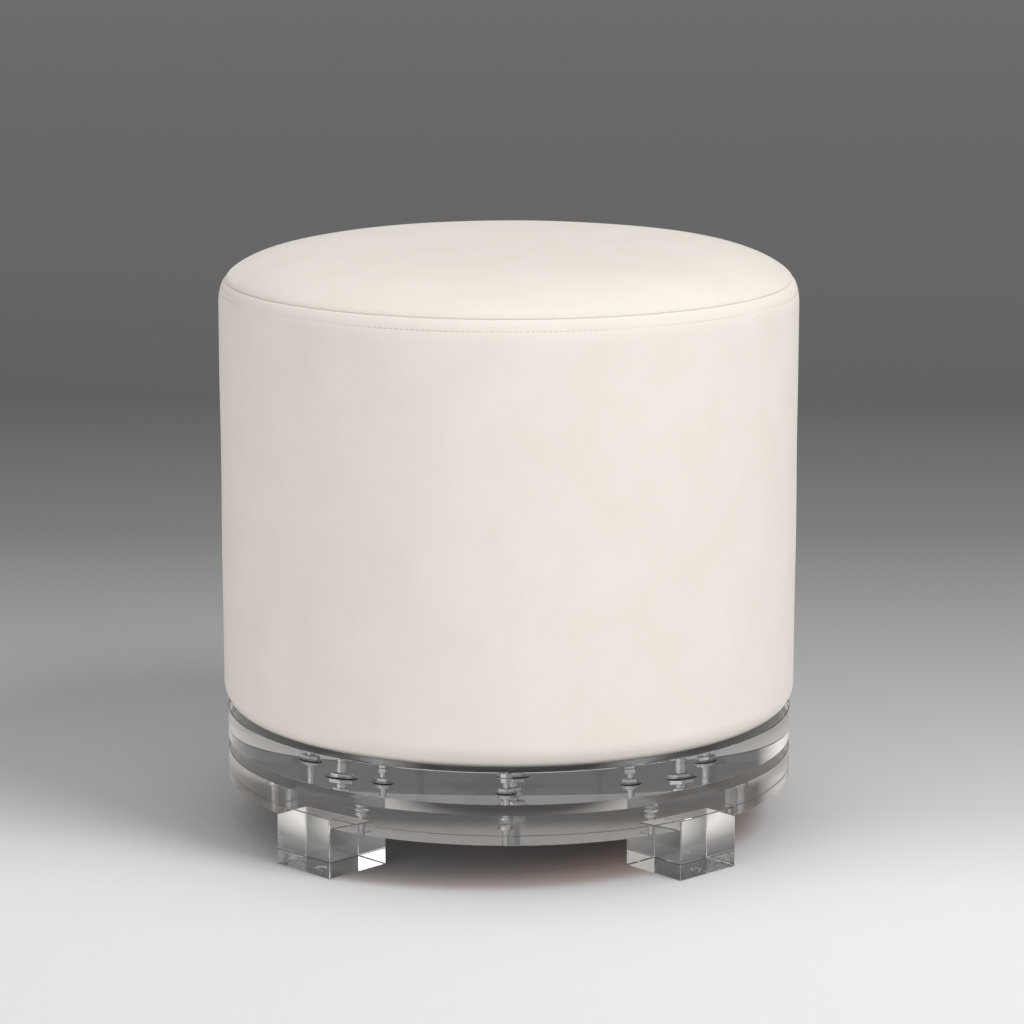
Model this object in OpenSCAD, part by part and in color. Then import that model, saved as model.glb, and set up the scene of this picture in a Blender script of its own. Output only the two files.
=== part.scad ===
// Round swivel ottoman: an upholstered drum on two clear acrylic discs and four block feet.
// Millimetres. Z is up, the floor is Z = 0, the swivel turns about the Z axis and the front faces -Y.

/* [Overall] */
// Height of the seat's highest point above the floor
seat_height = 466; // [430:1:520]
// Diameter of the upholstered drum
drum_d = 457.2; // [420:0.1:500]
// How far both acrylic discs stand in from the side of the drum
disc_inset = 3.2; // [0:0.1:12]

/* [Feet] */
// Side of a square foot block
foot_w = 59.2; // [40:0.1:64]
// Angle between each foot and the front-to-back line
foot_angle = 43.6; // [40:0.1:50]
// Height of a foot block, floor to glue joint
foot_h = 47.6; // [35:0.1:70]

/* [Discs] */
// Thickness of the notched layer that locates the feet
foot_layer_t = 7.9; // [6:0.1:12]
// Thickness of the lower disc above that layer
lower_disc_t = 15.9; // [12:0.1:25]
// Thickness of the upper disc
upper_disc_t = 25.4; // [22:0.1:32]

/* [Swivel bearing] */
// Height of the bearing, which is the gap between the discs
bearing_h = 7.9; // [7:0.1:10]
// How far the circle that the balls run on lies inside the side of the drum
race_inset = 108.6; // [95:0.1:120]
// Diameter of one ball
ball_d = 4.8; // [4:0.1:5.2]
// Number of balls
ball_count = 40; // [24:1:48]
// Width of each bearing ring, inner edge to outer edge
ring_w = 20; // [18:0.5:24]

/* [Fasteners] */
// Number of fasteners on each bolt circle
fastener_count = 8; // [6:1:10]
// Diameter of the bolts and machine screws
bolt_d = 4.8; // [4:0.1:5]
// Outer diameter of the washers and of the bushes' flanges
washer_d = 13.6; // [12.5:0.1:14]
// Thickness of a steel washer
washer_t = 0.8; // [0.6:0.1:1.2]
// Thickness of a rubber washer
rubber_t = 1.2; // [0.8:0.1:1.5]
// Height of a flanged bush
bush_h = 3.4; // [3:0.1:4]
// Diameter of a bush above its flange
bush_d = 11; // [9:0.1:12]
// Thickness of a bush's flange
bush_flange_t = 0.9; // [0.6:0.1:1.2]
// Width across the flats of the nuts that clamp the upper disc
clamp_nut_af = 10; // [9:0.1:10.5]
// Thickness of those nuts
clamp_nut_t = 3.2; // [3:0.1:4]
// Length of the clear plug that closes the counterbore below each of them
clamp_nut_recess = 7.7; // [6.5:0.1:9]
// Width across the flats of the nuts above and below the inner ring
ring_nut_af = 7; // [6.8:0.1:8]
// Thickness of the nuts above the inner ring
lock_nut_t = 4; // [3:0.1:5]
// Thickness of the thin nuts below it
ring_nut_t = 2.7; // [2:0.1:3]
// Diameter of the screw heads under the lower disc
screw_head_d = 9.5; // [8:0.1:10]
// Height of those heads
screw_head_h = 4; // [3:0.1:4.5]

/* [Drum frame] */
// Thickness of the bottom and top plywood boards
board_t = 18; // [15:0.5:22]
// Side of a square post
post_w = 38; // [30:1:45]
// Number of posts
post_count = 8; // [6:1:10]
// Thickness of the bent hardboard wall
wall_t = 3; // [2:0.5:5]
// Shank diameter of the wood screws in the posts
wood_screw_d = 4.5; // [3.5:0.1:5]
// Length of those screws
wood_screw_len = 50; // [40:1:60]

/* [Upholstery] */
// Thickness of the cover fabric with its backing
cover_t = 1.8; // [1:0.1:2.5]
// Rise of the crown above the seam
crown_h = 27.4; // [15:0.1:35]
// Thickness of the seat foam at its edge, from top board to seam
foam_edge_h = 40; // [30:1:60]
// Radius of the rounded lower edge of the drum
hem_edge_r = 19; // [12:0.5:20]
// How far the side band leans in at its top
shoulder_in = 6.5; // [3:0.5:10]
// Height over which it leans in
shoulder_h = 18; // [10:1:25]
// Radius of the sewn ridge along the top seam
ridge_r = 1.2; // [0.8:0.1:2]
// Width of the hem turned under and stapled to the board
hem_w = 45; // [30:1:60]
// Thickness of the dust cloth under the drum
dust_t = 0.6; // [0.4:0.1:1]
// Number of staples in the hem
staple_count = 36; // [24:1:48]

/* [Hidden] */
$fn = 96;

// Fits
fit = 0.2;          // between a soft or bent piece and what it wraps
run_gap = 0.05;     // radial running fit of the balls, and of a bolt in its tapped hole
bolt_room = 0.3;    // between a bolt and its clearance hole, on the radius
overrun = 1;        // how far a cutter passes the face that it cuts
fine_fn = 32;       // roundness of small fasteners
full_turn = 360;
quarter_turn = 90;

// Radii
drum_r = drum_d / 2;
disc_r = drum_r - disc_inset;
race_r = drum_r - race_inset;
ball_r = ball_d / 2;
bolt_r = bolt_d / 2;

// Levels, from the floor up
layer_z = foot_h - foot_layer_t;
lower_disc_z = foot_h;
bearing_z = lower_disc_z + lower_disc_t;
upper_disc_z = bearing_z + bearing_h;
drum_z = upper_disc_z + upper_disc_t;
cover_z = drum_z + dust_t;
board_z = cover_z + cover_t;
seam_z = seat_height - crown_h;
top_board_z = seam_z - foam_edge_h - board_t;
foam_z = top_board_z + board_t;

// Each foot's outer face touches the rim. Bearings in the plan, from +X: back right, back left, front left, front right
foot_out = disc_r - foot_w / 2;
foot_bearings = [quarter_turn - foot_angle, quarter_turn + foot_angle,
                 -quarter_turn - foot_angle, -quarter_turn + foot_angle];

// Bearing rings: the inner one turns with the drum, the outer one stays with the base
race_gap_share = 1 / 3;
race_half_gap = ball_d * race_gap_share;
ring_end_gap = 0.6;
ring_h = bearing_h - ring_end_gap;
inner_ring_out = race_r - race_half_gap;
inner_ring_in = inner_ring_out - ring_w;
outer_ring_in = race_r + race_half_gap;
outer_ring_out = outer_ring_in + ring_w;
race_z = bearing_z + bearing_h / 2;
cage_w_share = 0.4;
cage_h_share = 1.35;
cage_w = ball_d * cage_w_share;
cage_h = ball_d * cage_h_share;
cage_room = 0.08;

// Bolt circles run along the middle of each ring, with one bolt at the front
inner_bolt_r = (inner_ring_in + inner_ring_out) / 2;
outer_bolt_r = (outer_ring_in + outer_ring_out) / 2;
front_angle = -quarter_turn;

// Counterbores in the upper disc, and what is stacked in them from the shoulder down
fastener_room = 0.15;
pocket_r = washer_d / 2 + fastener_room;
pocket_h = clamp_nut_recess + clamp_nut_t + washer_t + rubber_t + bush_h;
bush_z = upper_disc_z + pocket_h - bush_h;
rubber_z = bush_z - rubber_t;
washer_z = rubber_z - washer_t;
clamp_nut_z = washer_z - clamp_nut_t;
plug_pocket_r = ring_nut_af / 2 / cos(30) + fastener_room * 2;
plug_pocket_h = lock_nut_t + fastener_room * 2;
ring_pocket_room = 0.5;
ring_pocket_r = ring_nut_af / 2 / cos(30) + ring_pocket_room;
ring_bottom_z = upper_disc_z - ring_h;
ring_nut_z = ring_bottom_z + ring_pocket_room;
head_recess = 0.9;
head_pocket_r = screw_head_d / 2 + fastener_room * 2;
head_pocket_h = screw_head_h + head_recess;
tapped_share = 0.8;
tapped_h = ring_h * tapped_share;

// Hanger bolts reach this share of the board's thickness
bolt_in_board_share = 0.8;
bolt_top_z = board_z + board_t * bolt_in_board_share;

// Frame radii
edge_centre_r = drum_r - hem_edge_r;
board_r = edge_centre_r - wall_t - fit * 2;
wall_in = board_r + fit;
wall_out = wall_in + wall_t;
post_face_r = sqrt(pow(board_r, 2) - pow(post_w / 2, 2));
post_r = post_face_r - post_w / 2;
post_z = board_z + board_t;
post_h = top_board_z - post_z;
post_first_angle = full_turn / post_count / 2;
screw_head_share = 2;
screw_cone_share = 0.55;

// Upholstery radii
foam_out = drum_r - cover_t - fit;
hem_in = edge_centre_r - hem_w;
dust_r = hem_in + hem_w * 2 / 3;
seam_r = drum_r - shoulder_in;
crown_power = 6;
crown_edge_power = 0.8;
crown_steps = 28;
arc_steps = 12;
seam_groove = 0.6;

// Staples: crown width, wire thickness and leg length
staple_w = 10;
staple_wire = 0.9;
staple_leg = 9;
staple_r = (hem_in + dust_r) / 2;
staple_bite = 0.4;

clear = [0.86, 0.90, 0.92, 0.35];
cream = [0.90, 0.87, 0.82];
foam_yellow = [0.93, 0.88, 0.70];
ply = [0.80, 0.66, 0.46];
pine = [0.87, 0.73, 0.52];
hardboard = [0.48, 0.34, 0.22];
steel = [0.72, 0.73, 0.75];
aluminium = [0.82, 0.83, 0.85];
nylon = [0.93, 0.93, 0.90];
black = [0.12, 0.12, 0.13];

// Points of an arc about [cx, cy], from one angle to another
function arc(cx, cy, rx, ry, from, to, steps) = [
    for (i = [0:steps]) let (a = from + (to - from) * i / steps)
        [cx + rx * cos(a), cy + ry * sin(a)]
];
function reversed(list) = [for (i = [len(list) - 1:-1:0]) list[i]];

// Shares of the way out from the middle, closer together towards the edge
function out_share(i) = sin(quarter_turn * i / crown_steps);

// Height of the crown above the ridge at a share of the way out: flat-topped, steep at the edge
function crown(share, rise) = rise * pow(1 - pow(share, crown_power), crown_edge_power);

module around(count, radius, first) {
    for (i = [0:count - 1])
        rotate([0, 0, first + full_turn * i / count])
            translate([radius, 0, 0])
                children();
}

module hole(radius, from_z, to_z) {
    translate([0, 0, from_z])
        cylinder(r = radius, h = to_z - from_z, $fn = fine_fn);
}

module tube(inner, outer, from_z, height) {
    difference() {
        translate([0, 0, from_z]) cylinder(r = outer, h = height);
        translate([0, 0, from_z - overrun]) cylinder(r = inner, h = height + overrun * 2);
    }
}

// Feet: solid clear blocks, sawn square and polished, glued under the lower disc
module foot(index) {
    color(clear)
        rotate([0, 0, foot_bearings[index]])
            translate([foot_out - foot_w / 2, -foot_w / 2, 0])
                cube([foot_w, foot_w, foot_h]);
}
module foot_back_right() { foot(0); }
module foot_back_left() { foot(1); }
module foot_front_left() { foot(2); }
module foot_front_right() { foot(3); }

// The lower layer of the lower disc, notched so that each foot is let into it up to the glue joint
module foot_layer() {
    color(clear)
        difference() {
            translate([0, 0, layer_z]) cylinder(r = disc_r, h = foot_layer_t);
            for (bearing = foot_bearings)
                rotate([0, 0, bearing])
                    translate([foot_out - foot_w / 2, -foot_w / 2, layer_z - overrun])
                        cube([foot_w + overrun * 4, foot_w, foot_layer_t + overrun * 2]);
            around(fastener_count, outer_bolt_r, front_angle) {
                hole(bolt_r + bolt_room, layer_z - overrun, lower_disc_z + overrun);
                hole(head_pocket_r, layer_z - overrun, layer_z + head_pocket_h);
            }
        }
}

module lower_disc() {
    color(clear)
        difference() {
            translate([0, 0, lower_disc_z]) cylinder(r = disc_r, h = lower_disc_t);
            around(fastener_count, outer_bolt_r, front_angle)
                hole(bolt_r + bolt_room, lower_disc_z - overrun, bearing_z + overrun);
        }
}

// Machine screws from below, heads let into the foot layer, threaded into the outer ring
module ring_screws() {
    color(steel)
        around(fastener_count, outer_bolt_r, front_angle) {
            hole(screw_head_d / 2, layer_z + head_recess, layer_z + head_pocket_h);
            hole(bolt_r, layer_z + head_recess, bearing_z + tapped_h - run_gap);
        }
}

// A ring with half of the ball race turned into its edge
module race_ring(inner, outer, from_z) {
    difference() {
        tube(inner, outer, from_z, ring_h);
        rotate_extrude()
            translate([race_r, race_z])
                circle(r = ball_r + run_gap, $fn = fine_fn);
    }
}

module bearing_outer_ring() {
    color(aluminium)
        difference() {
            race_ring(outer_ring_in, outer_ring_out, bearing_z);
            around(fastener_count, outer_bolt_r, front_angle)
                hole(bolt_r + run_gap, bearing_z - overrun, bearing_z + tapped_h);
        }
}

module bearing_balls() {
    color(steel)
        around(ball_count, race_r, front_angle)
            translate([0, 0, race_z])
                sphere(r = ball_r, $fn = fine_fn);
}

// Moulded ring that spaces the balls, with a round pocket for each
module ball_cage() {
    color(nylon)
        difference() {
            tube(race_r - cage_w / 2, race_r + cage_w / 2, race_z - cage_h / 2, cage_h);
            around(ball_count, race_r, front_angle)
                translate([0, 0, race_z])
                    sphere(r = ball_r + cage_room, $fn = fine_fn);
        }
}

module bearing_inner_ring() {
    color(aluminium)
        difference() {
            race_ring(inner_ring_in, inner_ring_out, ring_bottom_z);
            around(fastener_count, inner_bolt_r, front_angle) {
                hole(bolt_r + run_gap, ring_bottom_z - overrun, upper_disc_z + overrun);
                hole(ring_pocket_r, ring_bottom_z - overrun, ring_bottom_z + ring_pocket_room + ring_nut_t);
            }
        }
}

// Hexagonal nut from its width across the flats
module nut(flats, height) {
    difference() {
        cylinder(r = flats / 2 / cos(30), h = height, $fn = 6);
        translate([0, 0, -overrun])
            cylinder(r = bolt_r + run_gap, h = height + overrun * 2, $fn = fine_fn);
    }
}

module ring_nuts() {
    color(steel)
        around(fastener_count, inner_bolt_r, front_angle)
            translate([0, 0, ring_nut_z]) nut(ring_nut_af, ring_nut_t);
}

// Each pinches the ring against the nut below it, and stands in a recess in the plug above
module lock_nuts() {
    color(steel)
        around(fastener_count, inner_bolt_r, front_angle)
            translate([0, 0, upper_disc_z]) nut(ring_nut_af, lock_nut_t);
}

// One inch of clear acrylic, bored for the hanger bolts and counterbored from below for their nuts
module upper_disc() {
    color(clear)
        difference() {
            translate([0, 0, upper_disc_z]) cylinder(r = disc_r, h = upper_disc_t);
            around(fastener_count, inner_bolt_r, front_angle) {
                hole(bolt_r + bolt_room, upper_disc_z - overrun, drum_z + overrun);
                hole(pocket_r, upper_disc_z - overrun, upper_disc_z + pocket_h);
            }
        }
}

// Flanged bush against the counterbore's shoulder, flange down, which spreads the clamping load
module disc_bushes() {
    color(steel)
        around(fastener_count, inner_bolt_r, front_angle)
            difference() {
                union() {
                    hole(washer_d / 2, bush_z, bush_z + bush_flange_t);
                    hole(bush_d / 2, bush_z, bush_z + bush_h);
                }
                hole(bolt_r + run_gap, bush_z - overrun, bush_z + bush_h + overrun);
            }
}

module washers(from_z, thickness) {
    around(fastener_count, inner_bolt_r, front_angle)
        difference() {
            hole(washer_d / 2, from_z, from_z + thickness);
            hole(bolt_r + run_gap, from_z - overrun, from_z + thickness + overrun);
        }
}

module rubber_washers() {
    color(black) washers(rubber_z, rubber_t);
}

module disc_washers() {
    color(steel) washers(washer_z, washer_t);
}

module disc_nuts() {
    color(steel)
        around(fastener_count, inner_bolt_r, front_angle)
            translate([0, 0, clamp_nut_z]) nut(clamp_nut_af, clamp_nut_t);
}

// Clear plug cemented into each counterbore below its nut, with a recess for the ring's nut
module disc_plugs() {
    color(clear)
        around(fastener_count, inner_bolt_r, front_angle)
            difference() {
                hole(pocket_r, upper_disc_z, clamp_nut_z);
                hole(bolt_r + bolt_room, upper_disc_z - overrun, clamp_nut_z + overrun);
                hole(plug_pocket_r, upper_disc_z - overrun, upper_disc_z + plug_pocket_h);
            }
}

// Screwed into the bottom board, down through the upper disc and the inner ring
module hanger_bolts() {
    color(steel)
        around(fastener_count, inner_bolt_r, front_angle)
            hole(bolt_r, ring_nut_z, bolt_top_z);
}

module dust_cloth() {
    color(black)
        difference() {
            translate([0, 0, drum_z]) cylinder(r = dust_r, h = dust_t);
            around(fastener_count, inner_bolt_r, front_angle)
                hole(bolt_r + bolt_room, drum_z - overrun, drum_z + dust_t + overrun);
        }
}

// Countersunk wood screw pointing up, its head's face at Z = 0
module wood_screw(extra) {
    screw_r = wood_screw_d / 2 + extra;
    head_h = wood_screw_d * screw_cone_share;
    cylinder(r1 = screw_r * screw_head_share, r2 = screw_r, h = head_h, $fn = fine_fn);
    cylinder(r = screw_r, h = wood_screw_len + extra, $fn = fine_fn);
}

module all_post_screws(extra) {
    around(post_count, post_r, post_first_angle) {
        translate([0, 0, board_z]) wood_screw(extra);
        translate([0, 0, foam_z]) rotate([full_turn / 2, 0, 0]) wood_screw(extra);
    }
}

module bottom_board() {
    color(ply)
        difference() {
            translate([0, 0, board_z]) cylinder(r = board_r, h = board_t);
            around(fastener_count, inner_bolt_r, front_angle)
                hole(bolt_r + run_gap, board_z - overrun, bolt_top_z + run_gap);
            all_post_screws(run_gap);
        }
}

module top_board() {
    color(ply)
        difference() {
            translate([0, 0, top_board_z]) cylinder(r = board_r, h = board_t);
            all_post_screws(run_gap);
        }
}

module posts() {
    color(pine)
        difference() {
            around(post_count, post_r, post_first_angle)
                translate([-post_w / 2, -post_w / 2, post_z])
                    cube([post_w, post_w, post_h]);
            all_post_screws(run_gap);
        }
}

module post_screws() {
    color(steel) all_post_screws(0);
}

// Hardboard bent round the edges of both boards
module wall_liner() {
    color(hardboard) tube(wall_in, wall_out, board_z, foam_z - board_z);
}

// Foam wrapped round the wall, rounded under at the bottom with the cover
module side_foam() {
    foam_in = wall_out + fit;
    edge_r = foam_out - edge_centre_r;
    edge_z = cover_z + hem_edge_r;
    color(foam_yellow)
        rotate_extrude()
            polygon(concat(
                [[foam_in, foam_z - fit], [foam_in, board_z]],
                [for (p = arc(edge_centre_r, edge_z, edge_r, edge_r, -quarter_turn, 0, arc_steps))
                    if (p[0] > foam_in && p[1] > board_z) p],
                [[foam_out, foam_z - fit]]
            ));
}

// Seat foam: a flat underside on the top board, sides that lean in and a crowned top
module seat_foam() {
    shoulder_z = seam_z - shoulder_h;
    rise = crown_h - ridge_r * 2;
    inside = cover_t + fit;
    color(foam_yellow)
        rotate_extrude()
            polygon(concat(
                [[0, foam_z], [foam_out, foam_z]],
                arc(seam_r - inside, shoulder_z, shoulder_in, shoulder_h - fit, 0, quarter_turn, arc_steps),
                [for (i = [crown_steps:-1:0]) let (s = out_share(i))
                    [(seam_r - inside) * s, seam_z + ridge_r * 2 - inside + crown(s, rise)]]
            ));
}

// One staple, its crown against the hem's underside and its legs pointing up into the board
module staple() {
    translate([-staple_wire / 2, -staple_w / 2, board_z - cover_t - staple_bite])
        cube([staple_wire, staple_w, staple_wire]);
    for (side = [-1, 1])
        translate([-staple_wire / 2, side * (staple_w - staple_wire) / 2 - staple_wire / 2,
                   board_z - cover_t - staple_bite])
            cube([staple_wire, staple_wire, staple_leg]);
}

module hem_staples() {
    color(steel)
        around(staple_count, staple_r, full_turn / staple_count / 2)
            staple();
}

// Side band of the cover: hem, rounded lower edge, straight side and leaning shoulder, seamed at the back
module side_band() {
    edge_z = cover_z + hem_edge_r;
    shoulder_z = seam_z - shoulder_h;
    inner_edge_r = hem_edge_r - cover_t;
    color(cream)
        difference() {
            rotate_extrude()
                polygon(concat(
                    [[hem_in, cover_z]],
                    arc(edge_centre_r, edge_z, hem_edge_r, hem_edge_r, -quarter_turn, 0, arc_steps),
                    arc(seam_r, shoulder_z, shoulder_in, shoulder_h, 0, quarter_turn, arc_steps),
                    reversed(arc(seam_r - cover_t, shoulder_z, shoulder_in, shoulder_h - fit,
                                 0, quarter_turn, arc_steps)),
                    reversed(arc(edge_centre_r, edge_z, inner_edge_r, inner_edge_r,
                                 -quarter_turn, 0, arc_steps)),
                    [[hem_in, cover_z + cover_t]]
                ));
            translate([-seam_groove / 2, drum_r - seam_groove, edge_z])
                cube([seam_groove, seam_groove + overrun, shoulder_z - edge_z]);
        }
}

// Round top panel of the cover, crowned over the foam, with the sewn ridge along its edge
module top_panel() {
    rise = crown_h - ridge_r * 2;
    edge_z = seam_z + ridge_r * 2;
    inner_r = seam_r - cover_t;
    color(cream) {
        rotate_extrude()
            polygon(concat(
                [for (i = [0:crown_steps]) let (s = out_share(i))
                    [seam_r * s, edge_z + crown(s, rise)]],
                [[seam_r, seam_z + fit], [inner_r, seam_z + fit]],
                [for (i = [crown_steps:-1:0]) let (s = out_share(i))
                    [inner_r * s, edge_z - cover_t + crown(s, rise)]]
            ));
        rotate_extrude()
            translate([seam_r - ridge_r / 2, seam_z + fit + ridge_r])
                circle(r = ridge_r, $fn = fine_fn);
    }
}

foot_front_left();
foot_front_right();
foot_back_left();
foot_back_right();
foot_layer();
lower_disc();
ring_screws();
bearing_outer_ring();
bearing_balls();
ball_cage();
bearing_inner_ring();
ring_nuts();
lock_nuts();
upper_disc();
disc_bushes();
rubber_washers();
disc_washers();
disc_nuts();
disc_plugs();
hanger_bolts();
dust_cloth();
bottom_board();
posts();
post_screws();
wall_liner();
top_board();
side_foam();
seat_foam();
hem_staples();
side_band();
top_panel();
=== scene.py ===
import math

import bmesh
import bpy
from mathutils import Matrix, Vector, noise


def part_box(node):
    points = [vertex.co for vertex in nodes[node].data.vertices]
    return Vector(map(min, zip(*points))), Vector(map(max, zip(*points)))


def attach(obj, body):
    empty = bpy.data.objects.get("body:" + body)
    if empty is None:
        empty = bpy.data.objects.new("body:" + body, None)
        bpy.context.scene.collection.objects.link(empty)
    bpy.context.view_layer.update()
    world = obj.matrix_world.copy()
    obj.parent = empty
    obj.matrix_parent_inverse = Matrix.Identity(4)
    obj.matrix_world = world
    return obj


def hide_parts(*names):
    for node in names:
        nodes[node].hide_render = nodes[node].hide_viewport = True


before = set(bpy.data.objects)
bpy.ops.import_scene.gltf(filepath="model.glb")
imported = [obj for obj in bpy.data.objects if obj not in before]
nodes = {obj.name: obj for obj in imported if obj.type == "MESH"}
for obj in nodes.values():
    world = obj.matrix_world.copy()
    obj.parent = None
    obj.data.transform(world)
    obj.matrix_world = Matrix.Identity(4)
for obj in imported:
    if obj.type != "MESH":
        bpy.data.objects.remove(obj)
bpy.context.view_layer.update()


# Feet
# Four solid blocks of cast acrylic (PMMA), sawn square from thick sheet, their sawn faces sanded and
# flame-polished. Each is let into a notch in the lower disc at its rim and glued with clear cement,
# which leaves no visible face, only the eased edges round the joint.
def srgb(hex_colour):
    """Linear colour with alpha 1 from an sRGB hex value."""
    channels = [int(hex_colour[i:i + 2], 16) / 255 for i in (1, 3, 5)]
    return [c / 12.92 if c <= 0.04045 else ((c + 0.055) / 1.055) ** 2.4 for c in channels] + [1]


def new_material(name):
    """A material with an empty node tree, and the tree."""
    material = bpy.data.materials.new(name)
    material.use_nodes = True
    material.node_tree.nodes.clear()
    return material, material.node_tree


def add_node(tree, kind, values=None, links=None):
    """Adds a shader node with its settings, and links outputs of other nodes to its inputs."""
    node = tree.nodes.new("ShaderNode" + kind)
    for name, value in (values or {}).items():
        if isinstance(name, int) or name in node.inputs:
            node.inputs[name].default_value = value
        else:
            setattr(node, name, value)
    for name, output in (links or {}).items():
        tree.links.new(output, node.inputs[name])
    return node


def new_piece(name, bm, materials, body, replaced=()):
    """Makes an object of a finished bmesh that rides on a body and stands for CAD nodes."""
    mesh = bpy.data.meshes.new(name)
    bm.to_mesh(mesh)
    bm.free()
    piece = bpy.data.objects.new(name, mesh)
    bpy.context.collection.objects.link(piece)
    for material in materials:
        mesh.materials.append(material)
    if replaced:
        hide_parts(*replaced)
    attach(piece, body)
    return piece


def shade(bm, sharp_angle=0.6):
    """Outward normals, smooth faces, and sharp edges where the surface turns by more than an angle."""
    bmesh.ops.recalc_face_normals(bm, faces=bm.faces)
    for face in bm.faces:
        face.smooth = True
    for edge in bm.edges:
        edge.smooth = edge.calc_face_angle(0) < sharp_angle


ACRYLIC_IOR = 1.49


def acrylic(name, roughness, shade_colour="#E0D3CB"):
    """Clear cast acrylic. It takes a warm share of the light at each face that its shadow falls through."""
    material, tree = new_material(name)
    surface = add_node(tree, "BsdfPrincipled", {
        "Base Color": srgb("#FBFCFC"), "Roughness": roughness, "IOR": ACRYLIC_IOR, "Transmission Weight": 1})
    open_air = add_node(tree, "BsdfTransparent", {"Color": srgb(shade_colour)})
    path = add_node(tree, "LightPath")
    either = add_node(tree, "MixShader", links={
        0: path.outputs["Is Shadow Ray"], 1: surface.outputs[0], 2: open_air.outputs[0]})
    add_node(tree, "OutputMaterial", links={0: either.outputs[0]})
    return material


polished_acrylic = acrylic("polished_cast_acrylic", 0)
foot_acrylic = acrylic("flame_polished_acrylic", 0, "#E4E0DC")

# Solvent cement fills its joint completely, so light passes a cemented face as if it weren't there.
cement, cement_tree = new_material("clear_solvent_cement")
cement_face = add_node(cement_tree, "BsdfTransparent")
add_node(cement_tree, "OutputMaterial", links={0: cement_face.outputs[0]})

SAME_POINT = 1e-7
EASED = 0.0005
FOOT_EASED = 0.0007
FOOT_ANGLE = math.radians(43.6)
FOOT_BEARINGS = {
    "foot_back_right": math.pi / 2 - FOOT_ANGLE, "foot_back_left": math.pi / 2 + FOOT_ANGLE,
    "foot_front_left": -math.pi / 2 - FOOT_ANGLE, "foot_front_right": -math.pi / 2 + FOOT_ANGLE}


def reach(node):
    """Least and greatest distance of a CAD node from the swivel axis."""
    distances = [math.hypot(v.co.x, v.co.y) for v in nodes[node].data.vertices]
    return min(distances), max(distances)


disc_r = reach("upper_disc")[1]
foot_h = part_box("foot_front_left")[1][2]
layer_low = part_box("foot_layer")[0][2]
# The foot's outer face touches the rim, and its corner lies beyond it, which gives the block's width.
foot_w = 2 * math.sqrt(reach("foot_front_left")[1] ** 2 - disc_r ** 2)
for name, bearing in FOOT_BEARINGS.items():
    place = (Matrix.Rotation(bearing, 4, "Z")
             @ Matrix.Translation((disc_r - foot_w / 2, 0, foot_h / 2))
             @ Matrix.Diagonal((foot_w, foot_w, foot_h, 1)))
    bm = bmesh.new()
    bmesh.ops.create_cube(bm, size=1, matrix=place)
    bmesh.ops.bevel(bm, geom=bm.edges, offset=FOOT_EASED, segments=4, affect="EDGES", profile=0.5,
                    material=-1)
    bmesh.ops.bisect_plane(bm, geom=bm.verts[:] + bm.edges[:] + bm.faces[:], dist=SAME_POINT,
                           plane_co=(0, 0, layer_low), plane_no=(0, 0, 1))
    shade(bm, 0.3)
    # The big faces stay optically flat, and those that are glued into the notch show only clear cement.
    outward = Vector((math.cos(bearing), math.sin(bearing), 0))
    for face in bm.faces:
        face.smooth = face.calc_area() < FOOT_EASED * foot_h * 2
        in_notch = face.calc_center_median().z > layer_low and face.normal.dot(outward) < 0.5
        if in_notch or face.normal.z > 0.99:
            face.material_index = 1
    new_piece(name + "_block", bm, [foot_acrylic, cement], "base", [name])


# Lower disc
# Two layers of acrylic sheet cemented together. The lower layer is cut with a notch for each foot, and
# both are drilled for the machine screws of the bearing, with counterbores for their heads. The rims are
# turned true and polished; each layer's edge is eased, which draws the fine line between them.
RIM_STEPS = 1440
BORE_STEPS = 48
SAME_LEVEL = 1e-6
TOUCHING = 1e-5


def lathe(bm, profile, angles):
    """Carries a chain of (radius, height) points round the vertical axis, by a count of steps or a list."""
    if isinstance(angles, int):
        angles = [2 * math.pi * i / angles for i in range(angles)]
    rows = [[bm.verts.new((r * math.cos(a), r * math.sin(a), z)) for r, z in profile] for a in angles]
    for here, after in zip(rows, rows[1:] + rows[:1]):
        for i in range(len(profile) - 1):
            bm.faces.new((here[i], after[i], after[i + 1], here[i + 1]))
    bmesh.ops.remove_doubles(bm, verts=bm.verts, dist=SAME_POINT)


def stamp(bm, part, places):
    """Adds a copy of a small bmesh at each place."""
    mesh = bpy.data.meshes.new("part")
    part.to_mesh(mesh)
    part.free()
    for place in places:
        mesh.transform(place)
        bm.from_mesh(mesh)
        mesh.transform(place.inverted())
    bpy.data.meshes.remove(mesh)


def turned(profile, steps):
    """A small bmesh turned from a profile."""
    part = bmesh.new()
    lathe(part, profile, steps)
    return part


def fill_level(bm, z, slot=0):
    """Closes the open loops at one height with a flat face that leaves out the bores."""
    open_edges = [e for e in bm.edges if e.is_boundary and all(abs(v.co.z - z) < SAME_LEVEL for v in e.verts)]
    made = bmesh.ops.triangle_fill(bm, edges=open_edges, use_beauty=True, use_dissolve=False)["geom"]
    for face in made:
        if isinstance(face, bmesh.types.BMFace):
            face.material_index = slot
            face.normal_update()


def eased_rim(r, low, high):
    """Profile of a wall from low to high with both edges rounded."""
    bend = [math.radians(a) for a in (0, 30, 60, 90)]
    lower = [(r - EASED * (1 - math.sin(a)), low + EASED * (1 - math.cos(a))) for a in bend]
    upper = [(r - EASED * (1 - math.cos(a)), high - EASED * (1 - math.sin(a))) for a in bend]
    return lower + upper


def shade_disc(bm):
    """Flat faces stay optically flat: every edge that runs round at one height is sharp."""
    shade(bm)
    for edge in bm.edges:
        if abs(edge.verts[0].co.z - edge.verts[1].co.z) < SAME_POINT:
            edge.smooth = False
    for face in bm.faces:
        if abs(face.normal.z) > 0.999:
            face.smooth = False


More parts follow.
